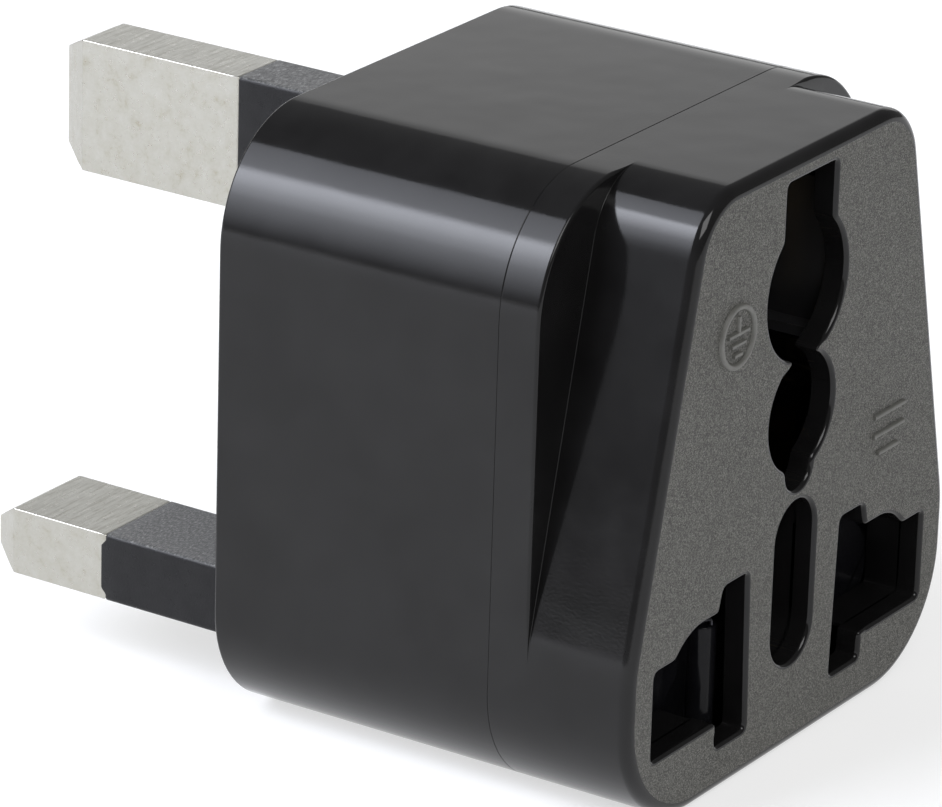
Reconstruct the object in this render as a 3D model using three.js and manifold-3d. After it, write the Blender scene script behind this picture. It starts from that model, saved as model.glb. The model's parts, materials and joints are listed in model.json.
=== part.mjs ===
// Universal travel adapter: a socket face in front, three rectangular plug pins behind.
//
// Plug frame, in millimetres: X is across, Y runs from the socket face (negative) to the pin tips
// (positive) with the plug base at 0, and Z is up from the centre line of the two lower pins.
// The finished group is shifted so that it stands on its flat bottom, centred over the origin.

import * as THREE from 'three';
import { mergeVertices } from 'three/addons/utils/BufferGeometryUtils.js';
import Module from 'manifold-3d';

const wasm = await Module();
wasm.setup();

// ---------------------------------------------------------------- driving dimensions

// Case
const HALF_WIDTH = 17.1;
const TOP = 29.2;
const BOTTOM = -6.35;
const CORNER_RADIUS = 7.1;
const WALL = 1.9;
const BASE_THICKNESS = 2;
const SEAM = -18.3;
const STEP = -20.8;
const FACE = -27.5;
const FACE_PLATE = 1.6;
const POCKET_DEPTH = 3.7;
const SLOT_COLLAR = 0.8;
const FACE_EDGE = 0.7;
const BASE_EDGE = 0.25;

// Nose, a rounded trapezium: half its width at the top, before rounding, and how fast it widens
const NOSE_TOP_HALF = 11.05;
const NOSE_SLOPE = 0.235;
const NOSE_TOP_RADIUS = 4;
const NOSE_KNEE_RADIUS = 8;
const NOSE_WALL = 1.7;

// Locating lip of the front cover, inside the rear shell
const LIP_GAP = 0.15;
const LIP_THICKNESS = 1.05;
const LIP_LENGTH = 2.5;

// Plug pins: places, full sections, lengths beyond the base and beyond it in the sleeve, and how
// far each tip narrows on every side over its last stretch
const EARTH = {
  x: 0, z: 22.2, width: 4, height: 8, length: 22.6, sleeve: 9.5, taper: 2, insetX: 1.35, insetZ: 1.1,
};
const LINE = {
  x: -11.1, z: 0, width: 6.35, height: 4, length: 17.9, sleeve: 9.6, taper: 1.7, insetX: 1, insetZ: 1.2,
};
const NEUTRAL = { ...LINE, x: 11.1 };
const SLEEVE_THICKNESS = 0.85;
const FIT = 0.02;
const HOLE_CLEARANCE = 0.12;
const FLANGE_OVERHANG = 0.8;
const FLANGE_THICKNESS = 1.55;

// Contacts and rivets
const SHEET = 0.6;
const RIVET_RADIUS = 1;
const RIVET_HEAD_RADIUS = 1.8;
const RIVET_HEAD_HEIGHT = 0.65;
const CONTACT_FRONT = -13.8;
const EARTH_CONTACT_FRONT = -22.2;
const EARTH_LEAF_FRONT = -18.8;

// Contact carrier
const CARRIER_FRONT = -14;
const CARRIER_REAR = -4.35;
const SHELL_CLEARANCE = 0.25;

// Case screws
const SCREW = { x: 10.6, z: 13.5 };
const SCREW_RADIUS = 1.3;
const SCREW_HEAD_RADIUS = 2.5;
const SCREW_HEAD_TOP = -0.4;
const SCREW_HEAD_UNDERSIDE = -2;
const SCREW_END = -20.3;
const POST_RADIUS = 2.6;
const POST_END = -14.1;

// Shutters: doors hung on vertical pins beside the inner edge of each live aperture
const HINGE = { x: 5.2, y: FACE + 2.95 };
const DOOR_FRONT = FACE + POCKET_DEPTH + 0.1;
const DOOR_BACK = DOOR_FRONT + 1;
const DOOR = { bottom: -3.9, top: 6.25, outer: 14.8 };
const KNUCKLE_RADIUS = 0.88;
const KNUCKLE_TOP = 2.4;
const HINGE_PIN_RADIUS = 0.35;
const HINGE_PIN_LOW = -4.6;
const HINGE_PIN_HIGH = 7.9;
const BORE_GAP = 0.08;
const SPRING_RADIUS = 0.64;
const SPRING_WIRE = 0.11;
const SPRING_TURNS = 5;

// ---------------------------------------------------------------- solids

function solid(geometry) {
  geometry.deleteAttribute('normal');
  geometry.deleteAttribute('uv');
  const merged = mergeVertices(geometry, 1e-5);
  const vertProperties = new Float32Array(merged.attributes.position.array);
  const triVerts = new Uint32Array(merged.index.array);
  return new wasm.Manifold(new wasm.Mesh({ numProp: 3, vertProperties, triVerts }));
}

function geometryOf(manifold) {
  const { vertProperties, triVerts } = manifold.getMesh();
  const geometry = new THREE.BufferGeometry();
  geometry.setAttribute('position', new THREE.BufferAttribute(new Float32Array(vertProperties), 3));
  geometry.setIndex(new THREE.BufferAttribute(new Uint32Array(triVerts), 1));
  geometry.computeVertexNormals();
  return geometry;
}

// A prism with its outline drawn in X and Z, from the plane y = rear forward to y = front.
function prism(outline, rear, front, segments = 8) {
  const options = { depth: rear - front, bevelEnabled: false, curveSegments: segments };
  const geometry = new THREE.ExtrudeGeometry(outline, options);
  geometry.rotateX(Math.PI / 2);
  geometry.translate(0, rear, 0);
  return solid(geometry);
}

// A prism whose ends have rounded edges of the given radius.
function softPrism(outline, rear, front, edge, segments) {
  const options = {
    depth: rear - front - 2 * edge,
    bevelEnabled: true,
    bevelThickness: edge,
    bevelSize: edge,
    bevelOffset: -edge,
    bevelSegments: 3,
    curveSegments: segments,
  };
  const geometry = new THREE.ExtrudeGeometry(outline, options);
  geometry.rotateX(Math.PI / 2);
  geometry.translate(0, rear - edge, 0);
  return solid(geometry);
}

function box([x0, x1], [y0, y1], [z0, z1]) {
  const geometry = new THREE.BoxGeometry(x1 - x0, y1 - y0, z1 - z0);
  geometry.translate((x0 + x1) / 2, (y0 + y1) / 2, (z0 + z1) / 2);
  return solid(geometry);
}

// A cylinder along Y, from y = rear forward to y = front.
function rod(radius, x, z, rear, front, segments = 20) {
  const geometry = new THREE.CylinderGeometry(radius, radius, rear - front, segments);
  geometry.translate(x, (rear + front) / 2, z);
  return solid(geometry);
}

// A cylinder along Z.
function post(radius, x, y, low, high, segments = 16) {
  const geometry = new THREE.CylinderGeometry(radius, radius, high - low, segments);
  geometry.rotateX(Math.PI / 2);
  geometry.translate(x, y, (low + high) / 2);
  return solid(geometry);
}

function join(solids) {
  return solids.reduce((whole, piece) => whole.add(piece));
}

function mirrored(manifold) {
  return manifold.mirror([1, 0, 0]);
}

function both(manifold) {
  return manifold.add(mirrored(manifold));
}

// ---------------------------------------------------------------- outlines

// A closed outline through the corners [x, z, radius], each rounded with an arc of its radius.
function roundedPolygon(corners) {
  const points = corners.map(([x, z]) => new THREE.Vector2(x, z));
  const shape = new THREE.Shape();
  corners.forEach(([, , radius], i) => {
    const here = points[i];
    const toBefore = points.at(i - 1).clone().sub(here).normalize();
    const toAfter = points[(i + 1) % points.length].clone().sub(here).normalize();
    const halfAngle = Math.acos(toBefore.dot(toAfter)) / 2;
    const reach = radius / Math.tan(halfAngle);
    const start = here.clone().addScaledVector(toBefore, reach);
    const end = here.clone().addScaledVector(toAfter, reach);
    if (i === 0) {
      shape.moveTo(start.x, start.y);
    } else {
      shape.lineTo(start.x, start.y);
    }
    if (radius > 0) {
      const middle = toBefore.clone().add(toAfter).normalize();
      const centre = here.clone().addScaledVector(middle, radius / Math.sin(halfAngle));
      const from = start.clone().sub(centre).angle();
      const to = end.clone().sub(centre).angle();
      shape.absarc(centre.x, centre.y, radius, from, to, toBefore.cross(toAfter) > 0);
    }
  });
  shape.closePath();
  return shape;
}

// The right half of an outline, listed from the bottom up, completed by its mirror image.
function symmetricPolygon(rightHalf) {
  const leftHalf = rightHalf.map(([x, z, radius]) => [-x, z, radius]).reverse();
  return roundedPolygon([...rightHalf, ...leftHalf]);
}

function caseOutline(inset) {
  const x = HALF_WIDTH - inset;
  const radius = CORNER_RADIUS - inset;
  return symmetricPolygon([[x, BOTTOM + inset, radius], [x, TOP - inset, radius]]);
}

function noseOutline(inset) {
  const slant = Math.hypot(1, NOSE_SLOPE);
  const side = (z) => NOSE_TOP_HALF + NOSE_SLOPE * (TOP - z) - inset * slant;
  const x = HALF_WIDTH - inset;
  const knee = TOP - (x - side(TOP)) / NOSE_SLOPE;
  return symmetricPolygon([
    [x, BOTTOM + inset, CORNER_RADIUS - inset],
    [x, knee, NOSE_KNEE_RADIUS],
    [side(TOP - inset), TOP - inset, NOSE_TOP_RADIUS - inset],
  ]);
}

function rectangle(pin, growth) {
  const x = pin.width / 2 + growth;
  const z = pin.height / 2 + growth;
  return roundedPolygon([
    [pin.x + x, pin.z - z, 0],
    [pin.x + x, pin.z + z, 0],
    [pin.x - x, pin.z + z, 0],
    [pin.x - x, pin.z - z, 0],
  ]);
}

// ---------------------------------------------------------------- apertures in the socket face

// Right-hand live aperture: a slot for flat blades that opens into a pocket for square and round pins.
function liveAperture() {
  const blade = { inner: 4.65, outer: 7.8, bottom: -3.55, top: 5.95, lean: 0.4 };
  const pocket = { outer: 14.45, bottom: -2.05, shoulder: 3.2 };
  const roundPin = { x: 9.5, z: 0.8, radius: 3.7 };
  const arcEnd = Math.asin((pocket.shoulder - roundPin.z) / roundPin.radius);
  const shape = new THREE.Shape();
  shape.moveTo(blade.inner, blade.bottom);
  shape.lineTo(blade.outer, blade.bottom);
  shape.lineTo(blade.outer, pocket.bottom);
  shape.lineTo(pocket.outer, pocket.bottom);
  shape.lineTo(pocket.outer, pocket.shoulder);
  shape.absarc(roundPin.x, roundPin.z, roundPin.radius, arcEnd, Math.PI / 2, false);
  shape.lineTo(blade.outer, roundPin.z + roundPin.radius);
  shape.lineTo(blade.outer - blade.lean, blade.top);
  shape.lineTo(blade.inner + blade.lean, blade.top);
  shape.closePath();
  return shape;
}

// Earth aperture: a square-pin slot over two round holes that run into each other.
function earthAperture(rear, front) {
  const upper = { z: 21.3, radius: 4.15 };
  const lower = { z: 13.95, radius: 3.4 };
  const lobe = { z: 10.8, radius: 1.45 };
  const squareSlot = { half: 2.6, top: 27.85 };
  const neckHalf = 1.3;
  const circle = ({ z, radius }) => rod(radius, 0, z, rear, front, 32);
  const slot = box([-squareSlot.half, squareSlot.half], [front, rear], [upper.z, squareSlot.top]);
  const neck = box([-neckHalf, neckHalf], [front, rear], [lower.z, upper.z]);
  return join([slot, circle(upper), neck, circle(lower), circle(lobe)]);
}

// Slot for a row of three round pins, between the two live apertures, or its outline grown all round.
function centreSlot(growth = 0) {
  const halfWidth = 2.1 + growth;
  const lowCentre = 1;
  const highCentre = 6.55;
  const shape = new THREE.Shape();
  shape.absarc(0, lowCentre, halfWidth, Math.PI, 2 * Math.PI, false);
  shape.absarc(0, highCentre, halfWidth, 0, Math.PI, false);
  shape.closePath();
  return shape;
}

// ---------------------------------------------------------------- case

function rearShell() {
  const pastSeam = box([-HALF_WIDTH - 1, HALF_WIDTH + 1], [FACE, SEAM], [BOTTOM - 1, TOP + 1]);
  const outside = softPrism(caseOutline(0), 0, SEAM - 3, BASE_EDGE, 10).subtract(pastSeam);
  const hollow = prism(caseOutline(WALL), -BASE_THICKNESS, SEAM - 1, 10);
  const boss = both(rod(SCREW_HEAD_RADIUS + 1.1, SCREW.x, SCREW.z, -1, CARRIER_REAR + 0.05));
  const counterbore = both(rod(SCREW_HEAD_RADIUS + 0.2, SCREW.x, SCREW.z, 1, SCREW_HEAD_UNDERSIDE));
  const screwHole = both(rod(SCREW_RADIUS + 0.3, SCREW.x, SCREW.z, 1, CARRIER_REAR - 1));
  const pinHoles = [EARTH, LINE, NEUTRAL].map((pin) => prism(rectangle(pin, HOLE_CLEARANCE), 1, -3));
  return outside.subtract(hollow).add(boss)
    .subtract(counterbore).subtract(screwHole).subtract(join(pinHoles));
}

// Two ribs behind the face plate that hold the ends of a hinge pin.
function hingeRibs() {
  const gap = 0.25;
  const rib = (low, high) => box([HINGE.x - 1, HINGE.x + 0.9], [FACE + 1, DOOR_FRONT - 0.1], [low, high]);
  const bore = post(HINGE_PIN_RADIUS + BORE_GAP, HINGE.x, HINGE.y, HINGE_PIN_LOW - 0.05, HINGE_PIN_HIGH + 0.1);
  return rib(BOTTOM + 1, DOOR.bottom - gap).add(rib(DOOR.top + gap, HINGE_PIN_HIGH + 0.3)).subtract(bore);
}

// Room beside the locating lip for the doors to swing through.
function doorRoom() {
  const rear = SEAM + LIP_LENGTH + 1;
  const front = STEP + NOSE_WALL;
  return prism(caseOutline(WALL), rear, front, 10)
    .intersect(both(box([2.8, HALF_WIDTH], [front, rear], [BOTTOM, 0])));
}

function frontCover() {
  const band = prism(caseOutline(0), SEAM, STEP, 10);
  const lipInset = WALL + LIP_GAP;
  const lip = prism(caseOutline(lipInset), SEAM + LIP_LENGTH, SEAM - 0.5, 10);
  const nose = softPrism(noseOutline(0), STEP + NOSE_WALL, FACE, FACE_EDGE, 10);
  const lipHollow = prism(caseOutline(lipInset + LIP_THICKNESS), SEAM + LIP_LENGTH + 1, STEP + NOSE_WALL, 10);
  const noseHollow = prism(noseOutline(NOSE_WALL), STEP + NOSE_WALL, FACE + FACE_PLATE, 10);
  const hollow = noseHollow.add(lipHollow);

  const pocketInner = 6.6;
  const pocketTop = 5.2;
  const pocketBlock = prism(noseOutline(1), FACE + POCKET_DEPTH, FACE + 1, 8)
    .intersect(box([pocketInner, HALF_WIDTH], [FACE, 0], [BOTTOM, pocketTop]));
  const slotCollar = prism(centreSlot(SLOT_COLLAR), FACE + POCKET_DEPTH, FACE + 1, 12);
  const posts = both(rod(POST_RADIUS, SCREW.x, SCREW.z, POST_END, FACE + 1));
  const pilots = both(rod(SCREW_RADIUS + 0.05, SCREW.x, SCREW.z, POST_END + 1, SCREW_END - 0.5));
  const cuts = join([
    both(prism(liveAperture(), FACE + POCKET_DEPTH + 1, FACE - 1, 12)),
    earthAperture(FACE + POCKET_DEPTH + 1, FACE - 1),
    prism(centreSlot(), FACE + POCKET_DEPTH + 1, FACE - 1, 12),
  ]);

  return join([band, lip, nose]).subtract(hollow.add(doorRoom()))
    .add(both(pocketBlock)).add(slotCollar).add(posts).subtract(cuts).add(both(hingeRibs())).subtract(pilots);
}

// What is left of a solid within the rear shell's walls.
function insideShell(manifold) {
  return manifold.intersect(prism(caseOutline(WALL + SHELL_CLEARANCE), 0, FACE));
}

// ---------------------------------------------------------------- plug pins

// A box with its far end, at the tip, tapered on all four sides.
function taperedBar(pin) {
  const bar = new THREE.BoxGeometry(pin.width, pin.length - pin.sleeve, pin.height, 1, 2, 1);
  const position = bar.attributes.position;
  const top = (pin.length - pin.sleeve) / 2;
  for (let i = 0; i < position.count; i += 1) {
    const y = position.getY(i);
    if (Math.abs(y) < 0.01) {
      position.setY(i, top - pin.taper);
    }
    if (y > top - 0.01) {
      position.setX(i, position.getX(i) * (1 - 2 * pin.insetX / pin.width));
      position.setZ(i, position.getZ(i) * (1 - 2 * pin.insetZ / pin.height));
    }
  }
  bar.translate(pin.x, (pin.length + pin.sleeve) / 2, pin.z);
  return solid(bar);
}

function plugPin(pin) {
  const neckInset = -SLEEVE_THICKNESS - FIT;
  const flangeRear = -BASE_THICKNESS - 0.05;
  const flangeFront = flangeRear - FLANGE_THICKNESS;
  const neck = prism(rectangle(pin, neckInset), pin.sleeve + 1, flangeFront);
  const flange = insideShell(prism(rectangle(pin, FLANGE_OVERHANG), flangeRear, flangeFront));
  const rivetHole = rod(RIVET_RADIUS + 0.05, pin.x, pin.z, 0.5, flangeFront - 1);
  return taperedBar(pin).add(neck).add(flange).subtract(rivetHole);
}

function pinSleeve(pin) {
  const rear = pin.sleeve - FIT;
  const front = -BASE_THICKNESS - 0.03;
  const outside = prism(rectangle(pin, 0), rear, front);
  const inside = prism(rectangle(pin, -SLEEVE_THICKNESS), rear + 1, front - 1);
  return outside.subtract(inside);
}

// ---------------------------------------------------------------- contacts

const PLATE_REAR = -BASE_THICKNESS - 0.05 - FLANGE_THICKNESS - 0.05;
const PLATE_FRONT = PLATE_REAR - SHEET;

function rivet(pin) {
  const shank = rod(RIVET_RADIUS, pin.x, pin.z, 0, PLATE_FRONT - 0.1);
  const head = rod(RIVET_HEAD_RADIUS, pin.x, pin.z, PLATE_FRONT - 0.02, PLATE_FRONT - RIVET_HEAD_HEIGHT);
  return shank.add(head);
}

// A sheet leaf seen end on: it leaves the plate, leans in to a waist and flares at its mouth.
function leafOutline(root, waist, front) {
  const flare = Math.sign(root - waist) * Math.min(0.9, Math.abs(root - waist) + 0.1);
  const length = PLATE_FRONT + 0.3 - front;
  const mouth = waist + flare;
  return [
    [PLATE_FRONT + 0.3, root],
    [PLATE_FRONT + 0.3 - 0.8 * length, waist],
    [front, mouth],
  ];
}

function sheetBand(path, across, alongX) {
  const half = SHEET / 2;
  const edge = (side) => path.map(([y, s]) => new THREE.Vector2(y, s + side * half));
  const outline = new THREE.Shape([...edge(-1), ...edge(1).reverse()]);
  const [low, high] = across;
  const options = { depth: high - low, bevelEnabled: false };
  const geometry = new THREE.ExtrudeGeometry(outline, options);
  const turn = new THREE.Matrix4();
  if (alongX) {
    turn.set(0, 0, 1, low, 1, 0, 0, 0, 0, 1, 0, 0, 0, 0, 0, 1);
  } else {
    turn.set(0, -1, 0, 0, 1, 0, 0, 0, 0, 0, 1, low, 0, 0, 0, 1);
  }
  geometry.applyMatrix4(turn);
  return solid(geometry);
}

// Right-hand live contact: a plate with one pair of leaves for blades and one pair for square pins.
function liveContact() {
  const plate = box([4.55, 14.7], [PLATE_FRONT, PLATE_REAR], [-3.5, 5.1]);
  const bladeLeaf = (root, waist) => sheetBand(leafOutline(-root, -waist, CONTACT_FRONT), [-2.6, 4.2], false);
  const pinLeaf = (root, waist) => sheetBand(leafOutline(root, waist, CONTACT_FRONT), [8.9, 14.2], true);
  const rivetHole = rod(RIVET_RADIUS + 0.05, NEUTRAL.x, NEUTRAL.z, PLATE_REAR + 1, PLATE_FRONT - 1);
  const leaves = [bladeLeaf(5.3, 5.6), bladeLeaf(8.1, 7.2), pinLeaf(4.4, 3.1), pinLeaf(-2.8, -1.6)];
  return insideShell(join([plate, ...leaves])).subtract(rivetHole);
}

function earthContact() {
  const plate = box([-2.75, 2.75], [PLATE_FRONT, PLATE_REAR], [-0.6, 26.4]);
  const leaf = (across, front) => both(sheetBand(leafOutline(-2.45, -2.2, front), across, false));
  const rivetHole = rod(RIVET_RADIUS + 0.05, EARTH.x, EARTH.z, PLATE_REAR + 1, PLATE_FRONT - 1);
  const leaves = [
    leaf([18.4, 25.8], EARTH_CONTACT_FRONT),
    leaf([10.5, 16.8], EARTH_LEAF_FRONT),
    leaf([0, 8.2], EARTH_LEAF_FRONT),
  ];
  return join([plate, ...leaves]).subtract(rivetHole);
}

// ---------------------------------------------------------------- contact carrier

function contactCarrier() {
  const block = prism(caseOutline(WALL + SHELL_CLEARANCE), CARRIER_REAR, CARRIER_FRONT, 8);
  const chamber = both(box([4.85, 20], [-30, 0], [-3.15, 4.75]));
  const channel = box([-3.1, 3.1], [-30, 0], [-2, 26.7]);
  const screwHoles = both(rod(SCREW_RADIUS + 0.5, SCREW.x, SCREW.z, 0, -30));
  const pockets = both(box([5.6, 9.4], [-30, CARRIER_REAR - 1.5], [17.5, 24.5]));

  // Wall beside and below the upper earth hole, reaching forward to the face plate
  const towerFront = FACE + FACE_PLATE + 0.1;
  const towerTop = TOP - WALL - LIP_GAP - LIP_THICKNESS - 0.2;
  const tower = box([-5.3, 5.3], [towerFront, CARRIER_REAR - 1], [16.9, towerTop])
    .subtract(box([-4.35, 4.35], [-30, CARRIER_FRONT - 0.5], [17.5, 30]));
  const towerChannel = box([-3.1, 3.1], [-30, 0], [12, 26.7]);
  return block.add(tower).subtract(join([chamber, channel, towerChannel, screwHoles, pockets]));
}

// ---------------------------------------------------------------- shutters

// Right-hand door, covering its aperture from behind and turning on its knuckle.
function shutter() {
  const outline = new THREE.Shape();
  const shoulder = 4.7;
  outline.moveTo(HINGE.x, DOOR.bottom);
  outline.lineTo(DOOR.outer, DOOR.bottom);
  outline.lineTo(DOOR.outer, shoulder);
  outline.lineTo(8.6, shoulder);
  outline.lineTo(8.2, DOOR.top);
  outline.lineTo(HINGE.x, DOOR.top);
  outline.closePath();
  const plate = prism(outline, DOOR_BACK, DOOR_FRONT)
    .intersect(prism(noseOutline(NOSE_WALL + 0.3), 0, FACE));
  const knuckle = post(KNUCKLE_RADIUS, HINGE.x, HINGE.y, DOOR.bottom, KNUCKLE_TOP);
  const web = box([HINGE.x, HINGE.x + 0.8], [HINGE.y, DOOR_FRONT + 0.2], [DOOR.bottom, KNUCKLE_TOP]);
  const bore = post(HINGE_PIN_RADIUS + BORE_GAP, HINGE.x, HINGE.y, DOOR.bottom - 1, KNUCKLE_TOP + 0.6);
  const springHole = post(SPRING_WIRE + 0.09, HINGE.x, HINGE.y - SPRING_RADIUS, 1.2, KNUCKLE_TOP + 0.6, 8);
  return join([plate, knuckle, web]).subtract(bore).subtract(springHole);
}

function hingePin() {
  return post(HINGE_PIN_RADIUS, HINGE.x, HINGE.y, HINGE_PIN_LOW, HINGE_PIN_HIGH);
}

// Torsion spring wound round the hinge pin, with one end let into the knuckle.
class SpringCurve extends THREE.Curve {
  getPoint(t) {
    const legShare = 0.1;
    const foot = 1.5;
    const low = 2.75;
    const high = 6.1;
    if (t < legShare) {
      const z = foot + (low - foot) * (t / legShare);
      return new THREE.Vector3(HINGE.x, HINGE.y - SPRING_RADIUS, z);
    }
    const u = (t - legShare) / (1 - legShare);
    const angle = 2 * Math.PI * SPRING_TURNS * u - Math.PI / 2;
    const z = low + (high - low) * u;
    const x = HINGE.x + SPRING_RADIUS * Math.cos(angle);
    const y = HINGE.y + SPRING_RADIUS * Math.sin(angle);
    return new THREE.Vector3(x, y, z);
  }
}

function shutterSpring() {
  const section = new THREE.Shape();
  section.absarc(0, 0, SPRING_WIRE, 0, 2 * Math.PI, false);
  const options = { steps: 80, curveSegments: 3, bevelEnabled: false, extrudePath: new SpringCurve() };
  return solid(new THREE.ExtrudeGeometry(section, options));
}

// ---------------------------------------------------------------- case screws

function caseScrew() {
  const shank = rod(SCREW_RADIUS, SCREW.x, SCREW.z, SCREW_HEAD_UNDERSIDE + 0.5, SCREW_END);
  const head = rod(SCREW_HEAD_RADIUS, SCREW.x, SCREW.z, SCREW_HEAD_TOP, SCREW_HEAD_UNDERSIDE + FIT, 28);
  const arm = (wide, tall) => box(
    [SCREW.x - wide, SCREW.x + wide],
    [SCREW_HEAD_TOP - 0.9, 0],
    [SCREW.z - tall, SCREW.z + tall],
  );
  return head.add(shank).subtract(arm(1.5, 0.35).add(arm(0.35, 1.5)));
}

// ---------------------------------------------------------------- assembly

const black = { color: 0x0b0b0c, roughness: 0.25, metalness: 0 };
const innerBlack = { color: 0x101012, roughness: 0.5, metalness: 0 };
const sleeveBlack = { color: 0x151518, roughness: 0.42, metalness: 0 };
const nickel = { color: 0xc9c5bb, roughness: 0.35, metalness: 1 };
const brass = { color: 0xb8964a, roughness: 0.3, metalness: 1 };
const steel = { color: 0x9a9a9c, roughness: 0.3, metalness: 1 };

const adapter = new THREE.Group();
adapter.name = 'travel_adapter';
adapter.position.set(0, -(EARTH.length + FACE) / 2, -BOTTOM);

function addPart(name, manifold, look) {
  const mesh = new THREE.Mesh(geometryOf(manifold), new THREE.MeshStandardMaterial(look));
  mesh.name = name;
  adapter.add(mesh);
}

addPart('rear_shell', rearShell(), black);
addPart('front_cover', frontCover(), black);
addPart('contact_carrier', contactCarrier(), innerBlack);

const pins = { earth: EARTH, line: LINE, neutral: NEUTRAL };
const contacts = { earth: earthContact(), line: mirrored(liveContact()), neutral: liveContact() };
for (const [name, pin] of Object.entries(pins)) {
  addPart(`${name}_pin`, plugPin(pin), nickel);
  addPart(`${name}_pin_sleeve`, pinSleeve(pin), sleeveBlack);
  addPart(`${name}_contact`, contacts[name], brass);
  addPart(`${name}_rivet`, rivet(pin), brass);
}

const sides = { line: mirrored, neutral: (manifold) => manifold };
for (const [name, place] of Object.entries(sides)) {
  addPart(`${name}_shutter`, place(shutter()), innerBlack);
  addPart(`${name}_shutter_pin`, place(hingePin()), steel);
  addPart(`${name}_shutter_spring`, place(shutterSpring()), steel);
  addPart(`${name}_side_screw`, place(caseScrew()), steel);
}

export default adapter;
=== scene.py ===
import json
import math

import bmesh
import bpy
from mathutils import Matrix, Vector
from mathutils.geometry import delaunay_2d_cdt


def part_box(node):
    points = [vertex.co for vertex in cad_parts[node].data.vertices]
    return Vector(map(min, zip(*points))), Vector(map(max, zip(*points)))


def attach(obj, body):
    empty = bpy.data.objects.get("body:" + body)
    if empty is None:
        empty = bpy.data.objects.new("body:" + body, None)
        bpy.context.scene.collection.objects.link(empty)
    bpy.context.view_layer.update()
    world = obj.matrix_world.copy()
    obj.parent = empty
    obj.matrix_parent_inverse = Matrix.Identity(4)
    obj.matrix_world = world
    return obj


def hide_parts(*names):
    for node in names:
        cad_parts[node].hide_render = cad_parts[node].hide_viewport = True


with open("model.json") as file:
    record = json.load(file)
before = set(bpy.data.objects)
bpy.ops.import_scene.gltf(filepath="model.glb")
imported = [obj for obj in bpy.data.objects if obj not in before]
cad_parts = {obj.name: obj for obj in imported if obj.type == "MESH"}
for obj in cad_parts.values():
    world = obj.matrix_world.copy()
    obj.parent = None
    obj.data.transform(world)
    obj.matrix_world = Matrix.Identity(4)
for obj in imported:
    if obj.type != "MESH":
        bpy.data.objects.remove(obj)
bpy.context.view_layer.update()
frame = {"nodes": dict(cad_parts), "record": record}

# All shapes below are drawn in the plug frame, in millimetres: X across, Y from the socket face
# (negative) to the pin tips with the plug base at 0, Z up from the line of the two lower pins.
MM = 0.001


def corners(node):
    low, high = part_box(node)
    return Vector(low), Vector(high)


shell_low, shell_high = corners("rear_shell")
cover_low, cover_high = corners("front_cover")
line_low, line_high = corners("line_pin")
BASE_Y = shell_high.y
LINE_Z = (line_low.z + line_high.z) / 2


def to_metres(point):
    x, y, z = point
    return Vector((x * MM, BASE_Y + y * MM, LINE_Z + z * MM))


# ---------------------------------------------------------------- driving dimensions (mm)

HALF_WIDTH = shell_high.x / MM
TOP = (shell_high.z - LINE_Z) / MM
BOTTOM = (shell_low.z - LINE_Z) / MM
SEAM = (shell_low.y - BASE_Y) / MM
FACE = (cover_low.y - BASE_Y) / MM
STEP = SEAM - 2.5
CORNER_RADIUS = 7.1
WALL = 1.9
BASE_THICKNESS = 2.0
BASE_EDGE = 0.2
SEAM_EDGE = 0.05
STEP_EDGE = 0.2
STEP_FILLET = 0.05
FACE_EDGE = 0.7
FACE_PLATE = 1.6
POCKET_DEPTH = 3.7
APERTURE_EDGE = 0.28
RELIEF = 0.18
HOLE_EDGE = 0.15

# The nose, which tapers upwards and runs into the case's outline at the bottom and along the top
NOSE_TOP_HALF = 11.1
NOSE_SLOPE = 0.235
NOSE_TOP_RADIUS = 4.0
NOSE_KNEE_RADIUS = 8.0
NOSE_WALL = 1.15
NOSE_MEET = 6.5

# The front cover's lip inside the rear shell, thin where the doors swing past it
LIP_INSET = 2.05
LIP_INNER_INSET = 3.1
LIP_THIN_INSET = 2.3
LIP_END = SEAM + 2.5

# Points along the flats, the lower corners, the sides and the case's upper corners of both outlines
FLAT_STEPS = 8
LOWER_CORNER_STEPS = 18
SIDE_STEPS = 110
UPPER_CORNER_STEPS = 24

# Apertures: each circle of the earth aperture is its centre's height and its radius
LIVE = dict(
    inner=4.65, slot=7.75, outer=14.45, bottom=-2.0, top=3.2, slot_bottom=-3.55, slot_top=5.9, round_top=4.5,
)
LIVE_ROUND = dict(x=9.5, z=0.8, radius=3.7)
EARTH_UPPER, EARTH_LOWER, EARTH_LOBE = (21.2, 4.15), (13.9, 3.4), (10.75, 1.45)
EARTH_SLOT = dict(half=2.6, top=27.8)
EARTH_NECK_HALF = 1.25
EARTH_LOBE_MEET = 1.28
CENTRE_SLOT = dict(half=2.1, low=0.95, high=6.5, collar=0.8)
POCKET_WALL = 0.9
POCKET_INNER = 8.2

EARTH = dict(
    x=0.0, z=22.2, width=4.0, height=8.0, sleeve=9.5, taper=2.0, inset_x=1.35, inset_z=1.1, tongue=0.0,
)
LINE = dict(
    x=-11.1, z=0.0, width=6.35, height=4.0, sleeve=9.6, taper=1.7, inset_x=1.0, inset_z=1.2, tongue=0.32,
)
NEUTRAL = dict(LINE, x=11.1)
PIN_EDGE = 0.06
PIN_HOLE_GAP = 0.12
SLEEVE_SWELL = 0.05
SLEEVE_THICKNESS = 0.6
SLEEVE_EDGE = 0.12

SCREWS = [(-10.6, 13.5), (10.6, 13.5)]
COUNTERBORE = 2.7
BOSS = dict(outer=3.6, inner=1.6, rear=-4.3)
POST = dict(outer=2.6, inner=1.35, rear=-14.1)

DOOR = dict(low=-3.9, high=6.25, outer=14.8, thickness=1.0, edge=0.08)
BARREL = dict(radius=0.88, bore=0.43, high=2.4)

# Relief marks: the protective-earth sign's ring, and a stack of plain bars
SIGN = dict(x=-7.43, z=20.53, radius=1.7)
BARS = dict(x=9.8, top=11.0, pitch=1.15)


# ---------------------------------------------------------------- outlines

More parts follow.
